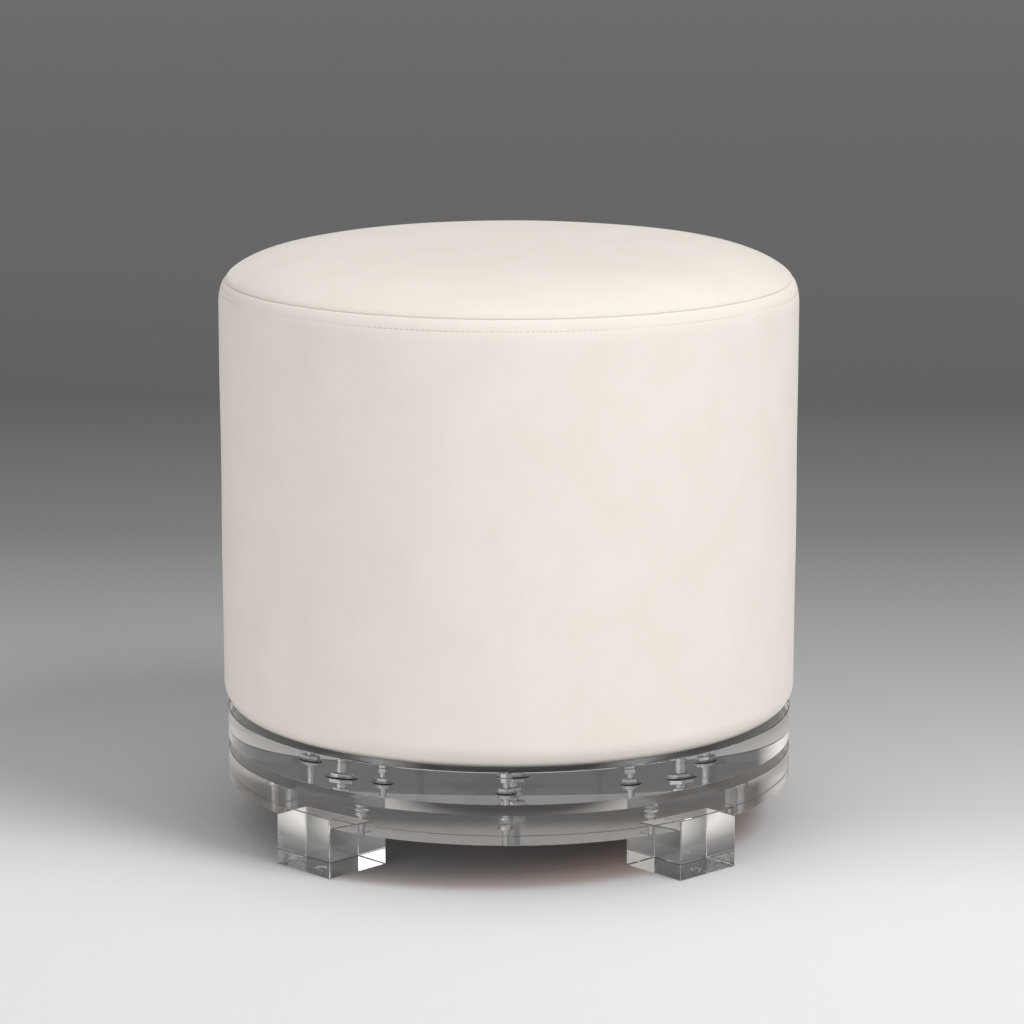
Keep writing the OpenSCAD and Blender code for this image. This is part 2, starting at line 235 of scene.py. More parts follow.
def fill_bores(bm, places, r, open_end):
    """Marks the walls and shoulders of the bores, which clear resin fills round the steel, as cemented."""
    for face in bm.faces:
        nearest = min(places, key=lambda place: (face.verts[0].co.xy - place.translation.xy).length)
        if (all((v.co.xy - nearest.translation.xy).length < r + TOUCHING for v in face.verts)
                and any(abs(v.co.z - open_end) > TOUCHING for v in face.verts)):
            face.material_index = 1


def on_circle(r, count, z=0):
    """Places evenly round the swivel axis, each turned to face it, the first one at the front."""
    return [Matrix.Rotation(2 * math.pi * i / count - math.pi / 2, 4, "Z") @ Matrix.Translation((r, 0, z))
            for i in range(count)]


FASTENERS = 8
BOLT_R = 0.0024
CLEARANCE = 0.0003
outer_bolts = on_circle(sum(reach("bearing_outer_ring")) / 2, FASTENERS)
layer_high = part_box("foot_layer")[1][2]
lower_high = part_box("lower_disc")[1][2]
SCREW_HEAD_R, HEAD_SEAT = 0.00475, 0.0049
head_low, head_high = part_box("ring_screws")[0][2], layer_low + HEAD_SEAT

# The joint between the layers is cemented over a sanded face, so it is a little milky. The two layers
# stand a hair apart in it, because faces in exactly the same place would flicker into each other.
hazy_cement, tree = new_material("milky_cement_joint")
clear_part = add_node(tree, "BsdfTransparent")
let_through = add_node(tree, "BsdfTranslucent", {"Color": srgb("#F0F2F2")})
thrown_back = add_node(tree, "BsdfDiffuse", {"Color": srgb("#F0F2F2")})
milky_part = add_node(tree, "MixShader", {0: 0.5}, {1: let_through.outputs[0], 2: thrown_back.outputs[0]})
MILKINESS = 0.12
joint_mix = add_node(tree, "MixShader", {0: MILKINESS}, {1: clear_part.outputs[0], 2: milky_part.outputs[0]})
add_node(tree, "OutputMaterial", links={0: joint_mix.outputs[0]})

# The faces that touch nothing were only sanded and buffed, so they're a little hazier than the rim.
buffed_acrylic = acrylic("buffed_cast_acrylic", 0.06)
JOINT = 0.00002
bm = bmesh.new()
lathe(bm, eased_rim(disc_r, layer_high + JOINT, lower_high), RIM_STEPS)
stamp(bm, turned([(BOLT_R + CLEARANCE, layer_high + JOINT), (BOLT_R + CLEARANCE, lower_high)], BORE_STEPS),
      outer_bolts)
fill_level(bm, layer_high + JOINT, 3)
fill_level(bm, lower_high, 2)
fill_bores(bm, outer_bolts, BOLT_R + CLEARANCE, lower_high)
shade_disc(bm)
new_piece("lower_disc_sheet", bm, [polished_acrylic, cement, buffed_acrylic, hazy_cement], "base",
          ["lower_disc"])

NOTCH_ROOM = 0.0001
half_notch = foot_w / 2 + NOTCH_ROOM
notch_in = disc_r - foot_w - NOTCH_ROOM
half_angle = math.asin(half_notch / disc_r)
outline = []
bearings = sorted(FOOT_BEARINGS.values())
for bearing, following in zip(bearings, bearings[1:] + [bearings[0] + 2 * math.pi]):
    outline += [Matrix.Rotation(bearing, 3, "Z") @ Vector((notch_in, side * half_notch, layer_low))
                for side in (-1, 1)]
    start, end = bearing + half_angle, following - half_angle
    arc_steps = round(RIM_STEPS * (end - start) / (2 * math.pi))
    for i in range(arc_steps + 1):
        a = start + (end - start) * i / arc_steps
        outline.append(Vector((disc_r * math.cos(a), disc_r * math.sin(a), layer_low)))
bm = bmesh.new()
floor_face = bm.faces.new([bm.verts.new(point) for point in outline])
raised = bmesh.ops.extrude_face_region(bm, geom=[floor_face], use_keep_orig=True)["geom"]
bmesh.ops.translate(bm, verts=[v for v in raised if isinstance(v, bmesh.types.BMVert)],
                    vec=(0, 0, layer_high - layer_low))
bmesh.ops.bevel(bm, geom=[e for e in bm.edges if abs(e.verts[0].co.z - e.verts[1].co.z) < SAME_POINT],
                offset=EASED, segments=3, affect="EDGES", profile=0.5, material=-1)
big_faces = [f for f in bm.faces if len(f.verts) > 8]
bmesh.ops.delete(bm, geom=big_faces, context="FACES_ONLY")
counterbore = [(SCREW_HEAD_R + CLEARANCE, layer_low), (SCREW_HEAD_R + CLEARANCE, head_high),
               (BOLT_R + CLEARANCE, head_high), (BOLT_R + CLEARANCE, layer_high)]
stamp(bm, turned(counterbore, BORE_STEPS), outer_bolts)
fill_level(bm, layer_low, 2)
fill_level(bm, layer_high, 1)
fill_bores(bm, outer_bolts, SCREW_HEAD_R + CLEARANCE, layer_low)
# The big upright faces inside the rim are the notches' walls, which clear cement fills.
WALL_AREA = 0.0001
for face in bm.faces:
    upright = abs(face.normal.z) < 0.001 and len(face.verts) == 4
    if upright and face.calc_center_median().xy.length < disc_r * 0.99 and face.calc_area() > WALL_AREA:
        face.material_index = 1
shade_disc(bm)
new_piece("foot_layer_sheet", bm, [polished_acrylic, cement, buffed_acrylic], "base",
          ["foot_layer"])


# Ring screws
# Bright stainless machine screws, cold-headed and thread-rolled. They go in from below through the
# lower disc, and their threads hold the bearing's outer ring. Each head has a hexagonal socket.
def steel(name, colour, roughness, grain):
    """Steel with faint turning marks, which spread its highlights along the marks."""
    material, tree = new_material(name)
    where = add_node(tree, "TexCoord")
    marks = add_node(tree, "Mapping", {"Scale": (1, 1, 12)}, {"Vector": where.outputs["Object"]})
    scratches = add_node(tree, "TexNoise", {"Scale": 1 / grain, "Detail": 3, "Roughness": 0.6},
                         {"Vector": marks.outputs[0]})
    spread = add_node(tree, "MapRange", {"To Min": roughness * 0.7, "To Max": roughness * 1.4},
                      {"Value": scratches.outputs[0]})
    relief = add_node(tree, "Bump", {"Strength": 0.15, "Distance": 0.0001}, {"Height": scratches.outputs[0]})
    surface = add_node(tree, "BsdfPrincipled", {"Base Color": srgb(colour), "Metallic": 1},
                       {"Roughness": spread.outputs[0], "Normal": relief.outputs[0]})
    add_node(tree, "OutputMaterial", links={0: surface.outputs[0]})
    return material


bright_steel = steel("bright_stainless_steel", "#DCDDDE", 0.34, 0.004)
THREAD_PITCH = 0.0008
THREAD_DEPTH = 0.0001


def thread(r, low, high):
    """Profile of a threaded shank: a crest and a root for each turn."""
    turns = max(1, round((high - low) / THREAD_PITCH))
    points = []
    for i in range(turns):
        z = low + (high - low) * i / turns
        points += [(r, z), (r - THREAD_DEPTH, z + (high - low) / turns / 2)]
    return points + [(r, high)]


def hexagon(bm, flats, low, high, easing=0.0003):
    """Wall of a six-sided prism with its corners' ends eased."""
    r = flats / 2 / math.cos(math.pi / 6)
    lathe(bm, [(r - easing, low), (r, low + easing), (r, high - easing), (r - easing, high)], 6)


HARDWARE_STEPS = 32
SOCKET_FLATS, SOCKET_DEPTH = 0.0035, 0.0022
HEAD_DOME = 0.0016
UNDER_HEAD = 0.00004
socket_high = head_low + SOCKET_DEPTH
screw_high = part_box("ring_screws")[1][2]
dome = [math.radians(a) for a in (0, 18, 36, 54, 72, 90)]
head_side = [(SCREW_HEAD_R - HEAD_DOME * (1 - math.sin(a)), head_low + HEAD_DOME * (1 - math.cos(a)))
             for a in dome]
screw = turned(head_side + [(SCREW_HEAD_R, head_high - UNDER_HEAD), (BOLT_R, head_high - UNDER_HEAD)]
               + thread(BOLT_R, head_high + THREAD_PITCH, screw_high), HARDWARE_STEPS)
hexagon(screw, SOCKET_FLATS, head_low, socket_high, 0)
for level in (socket_high, head_low, screw_high):
    fill_level(screw, level)
bm = bmesh.new()
stamp(bm, screw, outer_bolts)
shade(bm)
new_piece("ring_screw_set", bm, [bright_steel], "base", ["ring_screws"])


# Ring bearing
# Two turned aluminium rings, one inside the other, with a half-round race cut in each, and hardened
# steel balls between them. The outer ring is screwed to the lower disc and carries the inner one.
turned_aluminium, tree = new_material("turned_aluminium")
where = add_node(tree, "TexCoord")
grooves = add_node(tree, "TexWave", {
    "wave_type": "RINGS", "rings_direction": "Z", "Scale": 300, "Distortion": 0.6, "Detail": 2},
    {"Vector": where.outputs["Object"]})
relief = add_node(tree, "Bump", {"Strength": 0.25, "Distance": 0.00005}, {"Height": grooves.outputs["Color"]})
surface = add_node(tree, "BsdfPrincipled", {
    "Base Color": srgb("#C4C6C8"), "Metallic": 1, "Roughness": 0.32}, {"Normal": relief.outputs[0]})
add_node(tree, "OutputMaterial", links={0: surface.outputs[0]})

BALL_R = 0.0024
RACE_R = BALL_R + 0.00005
TAPPED_R = BOLT_R + 0.00005
race_r = sum(reach("bearing_balls")) / 2
race_z = (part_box("bearing_balls")[0][2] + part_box("bearing_balls")[1][2]) / 2


def ring_wall(r_race, r_plain, low, high):
    """Profile of a ring from its race side's bottom edge, up over the race, to its plain side's."""
    side = 1 if r_plain > r_race else -1
    bite = abs(race_r - r_race)
    open_angle = math.acos(bite / RACE_R)
    race = [(race_r + side * RACE_R * math.cos(a), race_z + RACE_R * math.sin(a))
            for a in [open_angle * (i / 8 - 1) for i in range(17)]]
    raceway = [(r_race + side * EASED, low), (r_race, low + EASED)] + race
    raceway += [(r_race, high - EASED), (r_race + side * EASED, high)]
    plain = [(r_plain - side * EASED, low), (r_plain, low + EASED),
             (r_plain, high - EASED), (r_plain - side * EASED, high)]
    return raceway, plain


outer_in, outer_out = reach("bearing_outer_ring")
outer_low, outer_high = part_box("bearing_outer_ring")[0][2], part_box("bearing_outer_ring")[1][2]
# A film of air stays between clear and metal faces that only press on each other.
AIR_FILM = 0.00004
outer_low += AIR_FILM
RING_STEPS = 360
bm = bmesh.new()
for profile in ring_wall(outer_in, outer_out, outer_low, outer_high):
    lathe(bm, profile, RING_STEPS)
TAP_ROOM, DRILL_POINT = 0.0001, 0.0005
tap_end = screw_high + TAP_ROOM
tapped = [(TAPPED_R, outer_low), (TAPPED_R, tap_end), (0, tap_end + DRILL_POINT)]
stamp(bm, turned(tapped, HARDWARE_STEPS), outer_bolts)
fill_level(bm, outer_low)
fill_level(bm, outer_high)
shade_disc(bm)
new_piece("outer_ring_turned", bm, [turned_aluminium], "base", ["bearing_outer_ring"])

BALLS = 40
ball = bmesh.new()
bmesh.ops.create_uvsphere(ball, u_segments=24, v_segments=16, radius=BALL_R)
bm = bmesh.new()
stamp(bm, ball, on_circle(race_r, BALLS, race_z))
shade(bm)
new_piece("ball_set", bm, [bright_steel], "base", ["bearing_balls"])

# The cage is a moulded nylon ring that keeps the balls apart. The light gets a little way into it.
nylon, tree = new_material("moulded_nylon")
where = add_node(tree, "TexCoord")
mould = add_node(tree, "TexNoise", {"Scale": 1 / 0.0006, "Detail": 2}, {"Vector": where.outputs["Object"]})
relief = add_node(tree, "Bump", {"Strength": 0.1, "Distance": 0.00005}, {"Height": mould.outputs[0]})
surface = add_node(tree, "BsdfPrincipled", {
    "Base Color": srgb("#ECEBE4"), "Roughness": 0.4, "IOR": 1.53, "Subsurface Weight": 0.2,
    "Subsurface Scale": 0.002}, {"Normal": relief.outputs[0]})
add_node(tree, "OutputMaterial", links={0: surface.outputs[0]})


def dress(node, material):
    """Gives a CAD node that keeps its own shape a better material."""
    mesh = nodes[node].data
    mesh.materials.clear()
    mesh.materials.append(material)


dress("ball_cage", nylon)

inner_in, inner_out = reach("bearing_inner_ring")
inner_low, inner_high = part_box("bearing_inner_ring")[0][2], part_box("bearing_inner_ring")[1][2] - AIR_FILM
inner_bolts = on_circle((inner_in + inner_out) / 2, FASTENERS)
ring_nut_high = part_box("ring_nuts")[1][2]
RING_NUT_FLATS = 0.007
RING_POCKET_ROOM = 0.0005
ring_pocket_r = RING_NUT_FLATS / 2 / math.cos(math.pi / 6) + RING_POCKET_ROOM
bm = bmesh.new()
for profile in ring_wall(inner_out, inner_in, inner_low, inner_high):
    lathe(bm, profile, RING_STEPS)
nut_pocket = [(ring_pocket_r, inner_low), (ring_pocket_r, ring_nut_high),
              (TAPPED_R, ring_nut_high), (TAPPED_R, inner_high)]
stamp(bm, turned(nut_pocket, HARDWARE_STEPS), inner_bolts)
fill_level(bm, inner_low)
fill_level(bm, inner_high)
shade_disc(bm)
new_piece("inner_ring_turned", bm, [turned_aluminium], "seat", ["bearing_inner_ring"])


# Nuts of the inner ring
# Plain hexagonal nuts of bright steel, a thin one under the ring and a full one over it on each bolt,
# pinched against each other so that the ring can't work loose.
def nut_set(name, node, flats):
    """One hexagonal nut on each of the inner bolts, at the height of its CAD node."""
    low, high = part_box(node)[0][2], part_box(node)[1][2]
    nut = turned([(TAPPED_R, low), (TAPPED_R, high)], HARDWARE_STEPS)
    hexagon(nut, flats, low, high)
    fill_level(nut, low)
    fill_level(nut, high)
    bm = bmesh.new()
    stamp(bm, nut, inner_bolts)
    shade(bm, 0.3)
    return new_piece(name, bm, [bright_steel], "seat", [node])


nut_set("ring_nut_set", "ring_nuts", RING_NUT_FLATS)
nut_set("lock_nut_set", "lock_nuts", RING_NUT_FLATS)


# Upper disc
# One inch of cast acrylic, turned round and polished on its rim. It is drilled for the bolts and
# counterbored from below, so that the nuts that clamp it to the drum sit inside its thickness.
WASHER_R = 0.0068
POCKET_R = WASHER_R + 0.00015
upper_low, upper_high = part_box("upper_disc")[0][2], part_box("upper_disc")[1][2]
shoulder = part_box("disc_bushes")[1][2]
bm = bmesh.new()
lathe(bm, eased_rim(disc_r, upper_low, upper_high), RIM_STEPS)
plug_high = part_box("disc_plugs")[1][2] - AIR_FILM
counterbore = [(POCKET_R, upper_low), (POCKET_R, plug_high), (POCKET_R, shoulder),
               (BOLT_R + CLEARANCE, shoulder), (BOLT_R + CLEARANCE, upper_high)]
stamp(bm, turned(counterbore, BORE_STEPS), inner_bolts)
fill_level(bm, upper_low)
fill_level(bm, upper_high)
shade_disc(bm)
fill_bores(bm, inner_bolts, POCKET_R, upper_low)
new_piece("upper_disc_sheet", bm, [polished_acrylic, cement], "seat", ["upper_disc"])


# Clamping stack
# In each counterbore, from its shoulder down: a turned steel bush with a flange, a black rubber washer
# that keeps the steel from crazing the acrylic, a stamped steel washer and a hexagonal nut.
def turned_set(name, node, material, profile):
    """One turned piece on each of the inner bolts, from a closed profile."""
    bm = bmesh.new()
    stamp(bm, turned(profile + profile[:1], BORE_STEPS), inner_bolts)
    shade(bm)
    return new_piece(name, bm, [material], "seat", [node])


def washer_profile(low, high, easing):
    """Flat ring round a bolt with its outer edges rounded."""
    return [(TAPPED_R, low), (WASHER_R - easing, low), (WASHER_R, low + easing),
            (WASHER_R, high - easing), (WASHER_R - easing, high), (TAPPED_R, high)]


BUSH_R, BUSH_EASED = 0.0055, 0.0003
FLANGE_T = 0.0009
FLANGE_EASED = 0.0002
bush_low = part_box("disc_bushes")[0][2]
turned_set("disc_bush_set", "disc_bushes", bright_steel, [
    (TAPPED_R, bush_low), (WASHER_R - FLANGE_EASED, bush_low), (WASHER_R, bush_low + FLANGE_EASED),
    (WASHER_R, bush_low + FLANGE_T - FLANGE_EASED), (WASHER_R - FLANGE_EASED, bush_low + FLANGE_T),
    (BUSH_R, bush_low + FLANGE_T), (BUSH_R, shoulder - BUSH_EASED),
    (BUSH_R - BUSH_EASED, shoulder - AIR_FILM), (TAPPED_R, shoulder - AIR_FILM)])

black_rubber, tree = new_material("moulded_rubber")
where = add_node(tree, "TexCoord")
mould = add_node(tree, "TexNoise", {"Scale": 1 / 0.0004, "Detail": 3}, {"Vector": where.outputs["Object"]})
relief = add_node(tree, "Bump", {"Strength": 0.3, "Distance": 0.00005}, {"Height": mould.outputs[0]})
surface = add_node(tree, "BsdfPrincipled", {
    "Base Color": srgb("#1B1B1C"), "Roughness": 0.7, "IOR": 1.52}, {"Normal": relief.outputs[0]})
add_node(tree, "OutputMaterial", links={0: surface.outputs[0]})
turned_set("rubber_washer_set", "rubber_washers", black_rubber,
           washer_profile(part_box("rubber_washers")[0][2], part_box("rubber_washers")[1][2], 0.0004))
turned_set("steel_washer_set", "disc_washers", bright_steel,
           washer_profile(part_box("disc_washers")[0][2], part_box("disc_washers")[1][2], 0.0002))
CLAMP_NUT_FLATS = 0.01
nut_set("clamp_nut_set", "disc_nuts", CLAMP_NUT_FLATS)

# A short clear rod, bored for the bolt and recessed for the ring's nut, is cemented into the mouth of
# each counterbore once its nut is tight.
NUT_ROOM = 0.0003
recess_r = RING_NUT_FLATS / 2 / math.cos(math.pi / 6) + NUT_ROOM
recess_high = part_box("lock_nuts")[1][2] + NUT_ROOM
plug = turned([(POCKET_R, upper_low), (POCKET_R, plug_high)], BORE_STEPS)
lathe(plug, [(recess_r, upper_low), (recess_r, recess_high), (BOLT_R + CLEARANCE, recess_high),
             (BOLT_R + CLEARANCE, plug_high)], BORE_STEPS)
fill_level(plug, upper_low)
fill_level(plug, plug_high)
bm = bmesh.new()
stamp(bm, plug, inner_bolts)
shade_disc(bm)
fill_bores(bm, inner_bolts, POCKET_R, upper_low)
new_piece("disc_plug_set", bm, [polished_acrylic, cement], "seat", ["disc_plugs"])


# Hanger bolts
# Threaded steel rods, their upper ends screwed into the drum's bottom board. They carry the disc, the
# inner ring and all the nuts.
bolt_low, bolt_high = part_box("hanger_bolts")[0][2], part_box("hanger_bolts")[1][2]
BOLT_POINT = 0.0004
bolt = turned([(0, bolt_low), (BOLT_R - BOLT_POINT, bolt_low)]
              + thread(BOLT_R, bolt_low + BOLT_POINT, bolt_high - BOLT_POINT)
              + [(BOLT_R - BOLT_POINT, bolt_high), (0, bolt_high)], 24)
bm = bmesh.new()
stamp(bm, bolt, inner_bolts)
shade(bm)
new_piece("hanger_bolt_set", bm, [bright_steel], "seat", ["hanger_bolts"])


# Dust cloth
# A round of black non-woven polypropylene, stretched under the drum and held by the staples, so that
# nobody sees the board and the raw edge of the hem. The bolts come through it.
dust_cloth_stuff, tree = new_material("black_nonwoven_cloth")
where = add_node(tree, "TexCoord")
fibres = add_node(tree, "TexNoise", {"Scale": 1 / 0.0008, "Detail": 4}, {"Vector": where.outputs["Object"]})
welds = add_node(tree, "TexVoronoi", {"Scale": 1 / 0.0015}, {"Vector": where.outputs["Object"]})
relief = add_node(tree, "Bump", {"Strength": 0.5, "Distance": 0.0002}, {"Height": welds.outputs["Distance"]})
tint = add_node(tree, "ValToRGB", links={"Fac": fibres.outputs[0]})
tint.color_ramp.elements[0].color = srgb("#141416")
tint.color_ramp.elements[1].color = srgb("#2B2B2E")
surface = add_node(tree, "BsdfPrincipled", {"Roughness": 0.9, "Sheen Weight": 0.2},
                   {"Base Color": tint.outputs[0], "Normal": relief.outputs[0]})
add_node(tree, "OutputMaterial", links={0: surface.outputs[0]})

dust_r = reach("dust_cloth")[1]
dust_low, dust_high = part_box("dust_cloth")[0][2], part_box("dust_cloth")[1][2]
OFF_DISC = 0.0001
CUT_EDGE = 0.0002
CLOTH_STEPS = 256
bm = bmesh.new()
lathe(bm, [(dust_r - CUT_EDGE, dust_low + OFF_DISC), (dust_r, (dust_low + dust_high) / 2),
           (dust_r - CUT_EDGE, dust_high)], CLOTH_STEPS)
bolt_hole = [(BOLT_R + CLEARANCE, dust_low + OFF_DISC), (BOLT_R + CLEARANCE, dust_high)]
stamp(bm, turned(bolt_hole, 24), inner_bolts)
fill_level(bm, dust_low + OFF_DISC)
fill_level(bm, dust_high)
shade(bm)
dust_sheet = new_piece("dust_cloth_sheet", bm, [dust_cloth_stuff], "seat", ["dust_cloth"])


# Drum frame
# Two round plywood boards with eight sawn pine posts between them, put together with countersunk wood
# screws, and a sheet of hardboard bent round the boards' edges as a wall. The cover hides all of it.
def wood(name, light, dark, ring, along):
    """Wood with growth rings stretched along the grain."""
    material, tree = new_material(name)
    where = add_node(tree, "TexCoord")
    grain = add_node(tree, "Mapping", {"Scale": along}, {"Vector": where.outputs["Object"]})
    rings = add_node(tree, "TexWave", {"Scale": 1 / ring, "Distortion": 6, "Detail": 3},
                     {"Vector": grain.outputs[0]})
    tint = add_node(tree, "ValToRGB", links={"Fac": rings.outputs["Fac"]})
    tint.color_ramp.elements[0].color = srgb(light)
    tint.color_ramp.elements[1].color = srgb(dark)
    surface = add_node(tree, "BsdfPrincipled", {"Roughness": 0.75}, {"Base Color": tint.outputs[0]})
    add_node(tree, "OutputMaterial", links={0: surface.outputs[0]})
    return material


plywood = wood("birch_plywood", "#DDBE8E", "#C39D68", 0.12, (1, 0.15, 8))
for node in ("bottom_board", "top_board"):
    dress(node, plywood)
dress("posts", wood("sawn_pine", "#E6C793", "#C99A5C", 0.05, (1, 1, 0.05)))
dress("wall_liner", wood("hardboard", "#6B4A30", "#573A25", 0.3, (1, 1, 1)))
zinc_steel = steel("zinc_plated_steel", "#A9ABAE", 0.4, 0.002)
dress("post_screws", zinc_steel)


# Foam
# A strip of polyurethane foam goes round the wall, glued, its ends butted at the back. A thick round
# block of it, shaved to a crown, makes the seat. The open cells are under half a millimetre across.
foam_stuff, tree = new_material("polyurethane_foam")
where = add_node(tree, "TexCoord")
cells = add_node(tree, "TexVoronoi", {"Scale": 1 / 0.0006}, {"Vector": where.outputs["Object"]})
relief = add_node(tree, "Bump", {"Strength": 0.6, "Distance": 0.0003}, {"Height": cells.outputs["Distance"]})
surface = add_node(tree, "BsdfPrincipled", {
    "Base Color": srgb("#E9DDB0"), "Roughness": 1, "Subsurface Weight": 0.3, "Subsurface Scale": 0.004},
    {"Normal": relief.outputs[0]})
add_node(tree, "OutputMaterial", links={0: surface.outputs[0]})


def arc(centre_r, centre_z, size_r, size_z, start, end, steps):
    """Points of an arc in profile, angles in degrees from outward."""
    angles = [math.radians(start + (end - start) * i / steps) for i in range(steps + 1)]
    return [(centre_r + size_r * math.cos(a), centre_z + size_z * math.sin(a)) for a in angles]


drum_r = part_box("side_band")[1][0]
seat_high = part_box("top_panel")[1][2]
cover_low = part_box("side_band")[0][2]
seam_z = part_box("side_band")[1][2]
SHOULDER_IN, SHOULDER_H, ROLL_R, RIDGE_R = 0.0065, 0.018, 0.019, 0.0012
seam_r = drum_r - SHOULDER_IN
shoulder_z = seam_z - SHOULDER_H
roll_z = cover_low + ROLL_R
crown_low = seam_z + 2 * RIDGE_R
foam_in, foam_out = reach("side_foam")
foam_low, foam_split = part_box("side_foam")[0][2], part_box("side_foam")[1][2]


CROWN_FLATNESS, CROWN_EDGE = 6, 0.8


def crown(share, rise):
    """Height of the crown at a share of the way out: nearly flat on top and steep at the edge."""
    return rise * max(0, 1 - share ** CROWN_FLATNESS) ** CROWN_EDGE


def out_shares(steps):
    """Shares of the way out from the middle, closer together towards the edge."""
    return [math.sin(math.pi / 2 * i / steps) for i in range(steps + 1)]


def soften(bm, size, depth, seed):
    """Moves the surface in and out a little, with waves of about one size."""
    bm.normal_update()
    for v in bm.verts:
        v.co += v.normal * depth * noise.noise(v.co / size + Vector((seed, 0, 0)))


FOAM_STEPS = 180
foam_roll = arc(drum_r - ROLL_R, roll_z, foam_out - (drum_r - ROLL_R), foam_out - (drum_r - ROLL_R),
                -90, 0, 16)
bm = bmesh.new()
profile = [(foam_in, foam_split), (foam_in, foam_low)]
profile += [(r, z) for r, z in foam_roll if r > foam_in and z > foam_low]
profile += [(foam_out, roll_z + (foam_split - roll_z) * i / 12) for i in range(1, 13)]
lathe(bm, profile + profile[:1], FOAM_STEPS)
shade(bm)
soften(bm, size=0.03, depth=0.0001, seed=1)
side_foam = new_piece("side_foam_strip", bm, [foam_stuff], "seat", ["side_foam"])

seat_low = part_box("seat_foam")[0][2]
seat_foam_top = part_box("seat_foam")[1][2]
FOAM_IN = 0.002
bm = bmesh.new()
profile = [(0, seat_low)] + [(foam_out * i / 12, seat_low) for i in range(1, 13)]
profile += arc(seam_r - FOAM_IN, shoulder_z, SHOULDER_IN, SHOULDER_H - 0.0004, 0, 90, 10)
foam_rise = seat_foam_top - crown_low + FOAM_IN
profile += [((seam_r - FOAM_IN) * share, crown_low - FOAM_IN + crown(share, foam_rise))
            for share in reversed(out_shares(28))]
lathe(bm, profile, FOAM_STEPS)
shade(bm)
seat_foam = new_piece("seat_foam_block", bm, [foam_stuff], "seat", ["seat_foam"])


# Cover
# Cream polyester microsuede, about two millimetres thick with its backing. The side is one strip, sewn
# up at the back and pulled tight over the foam, its lower edge turned under the board and stapled.
microsuede, tree = new_material("cream_microsuede")
where = add_node(tree, "TexCoord")
brushing = add_node(tree, "TexNoise", {"Scale": 1 / 0.045, "Detail": 3, "Roughness": 0.5},
                    {"Vector": where.outputs["Object"]})
nap = add_node(tree, "TexNoise", {"Scale": 1 / 0.0016, "Detail": 5, "Roughness": 0.65},
               {"Vector": where.outputs["Object"]})
mixed = add_node(tree, "Math", {"operation": "MULTIPLY_ADD", 1: 0.5},
                 {0: nap.outputs[0], 2: brushing.outputs[0]})
tint = add_node(tree, "ValToRGB", links={"Fac": mixed.outputs[0]})
tint.color_ramp.elements[0].position = 0.5
tint.color_ramp.elements[0].color = srgb("#EBE4DB")
tint.color_ramp.elements[1].position = 1
tint.color_ramp.elements[1].color = srgb("#F0E9E1")
relief = add_node(tree, "Bump", {"Strength": 0.35, "Distance": 0.0003}, {"Height": nap.outputs[0]})
surface = add_node(tree, "BsdfPrincipled", {
    "Roughness": 0.95, "Specular IOR Level": 0.2, "Sheen Weight": 0.4, "Sheen Roughness": 0.3,
    "Sheen Tint": srgb("#FFFAF0")}, {"Base Color": tint.outputs[0], "Normal": relief.outputs[0]})
add_node(tree, "OutputMaterial", links={0: surface.outputs[0]})

COVER_T = 0.0018
STITCH_DROP = 0.008
GROOVE_W = 0.0012
stitch_angle = math.degrees(math.asin((SHOULDER_H - STITCH_DROP) / SHOULDER_H))
stitch_r = seam_r + SHOULDER_IN * math.cos(math.radians(stitch_angle))
stitch_z = seam_z - STITCH_DROP

# The rows of the strip lie closer together at the seam at the back, so that it can be drawn in sharply.
back = math.pi / 2
near_seam = [d / drum_r for d in (-0.004, -0.0024, -0.0014, -0.0007, -0.0003, 0,
                                  0.0003, 0.0007, 0.0014, 0.0024, 0.004)]
BAND_STEPS = 480
band_angles = [back + a for a in near_seam]
band_angles += [back + 2 * math.pi * i / BAND_STEPS for i in range(2, BAND_STEPS - 1)]
hem_in = reach("side_band")[0]
outer = [(hem_in + (drum_r - ROLL_R - hem_in) * i / 6, cover_low) for i in range(6)]
outer += arc(drum_r - ROLL_R, roll_z, ROLL_R, ROLL_R, -90, 0, 16)
outer += [(drum_r, roll_z + (shoulder_z - roll_z) * i / 56) for i in range(1, 57)]
outer += arc(seam_r, shoulder_z, SHOULDER_IN, SHOULDER_H + 0.0004, 0, 88, 36)[1:]
inner = arc(seam_r - COVER_T, shoulder_z, SHOULDER_IN, SHOULDER_H - 0.0002, 90, 0, 6)
inner += arc(drum_r - ROLL_R, roll_z, ROLL_R - COVER_T, ROLL_R - COVER_T, 0, -90, 8)
inner += [(hem_in, cover_low + COVER_T)]
bm = bmesh.new()
lathe(bm, outer + inner + outer[:1], band_angles)
shade(bm, 1.2)
bm.normal_update()
# The outside gets soft waves, a groove under the topstitching, and the pulled-in seam with its two lips.
WAVE, WAVE_SIZE, SLACK, HELD_BY_SEAM = 0.0005, 0.09, 0.0002, 0.006
GROOVE_DEPTH, SEAM_DEPTH, SEAM_W, LIP = 0.0002, 0.0009, 0.0009, 0.0002
for v in bm.verts:
    x, y, z = v.co
    r, a = math.hypot(x, y), math.atan2(y, x)
    if z < roll_z - ROLL_R * 0.6 or r < drum_r - SHOULDER_IN - COVER_T * 0.2 or v.normal.xy.dot(v.co.xy) < 0:
        continue
    below = max(0, seam_z - z)
    move = (WAVE * noise.noise(v.co / WAVE_SIZE) - SLACK) * min(1, below / HELD_BY_SEAM)
    groove = math.hypot(r - stitch_r, z - stitch_z) / GROOVE_W
    move -= GROOVE_DEPTH * math.exp(-groove * groove)
    off_seam = (a - back) * drum_r / SEAM_W
    if abs(off_seam) < 6:
        move -= SEAM_DEPTH * math.exp(-off_seam * off_seam) - LIP * math.exp(-(abs(off_seam) - 2) ** 2)
    v.co += v.normal * move
side_band = new_piece("side_band_fabric", bm, [microsuede], "seat", ["side_band"])

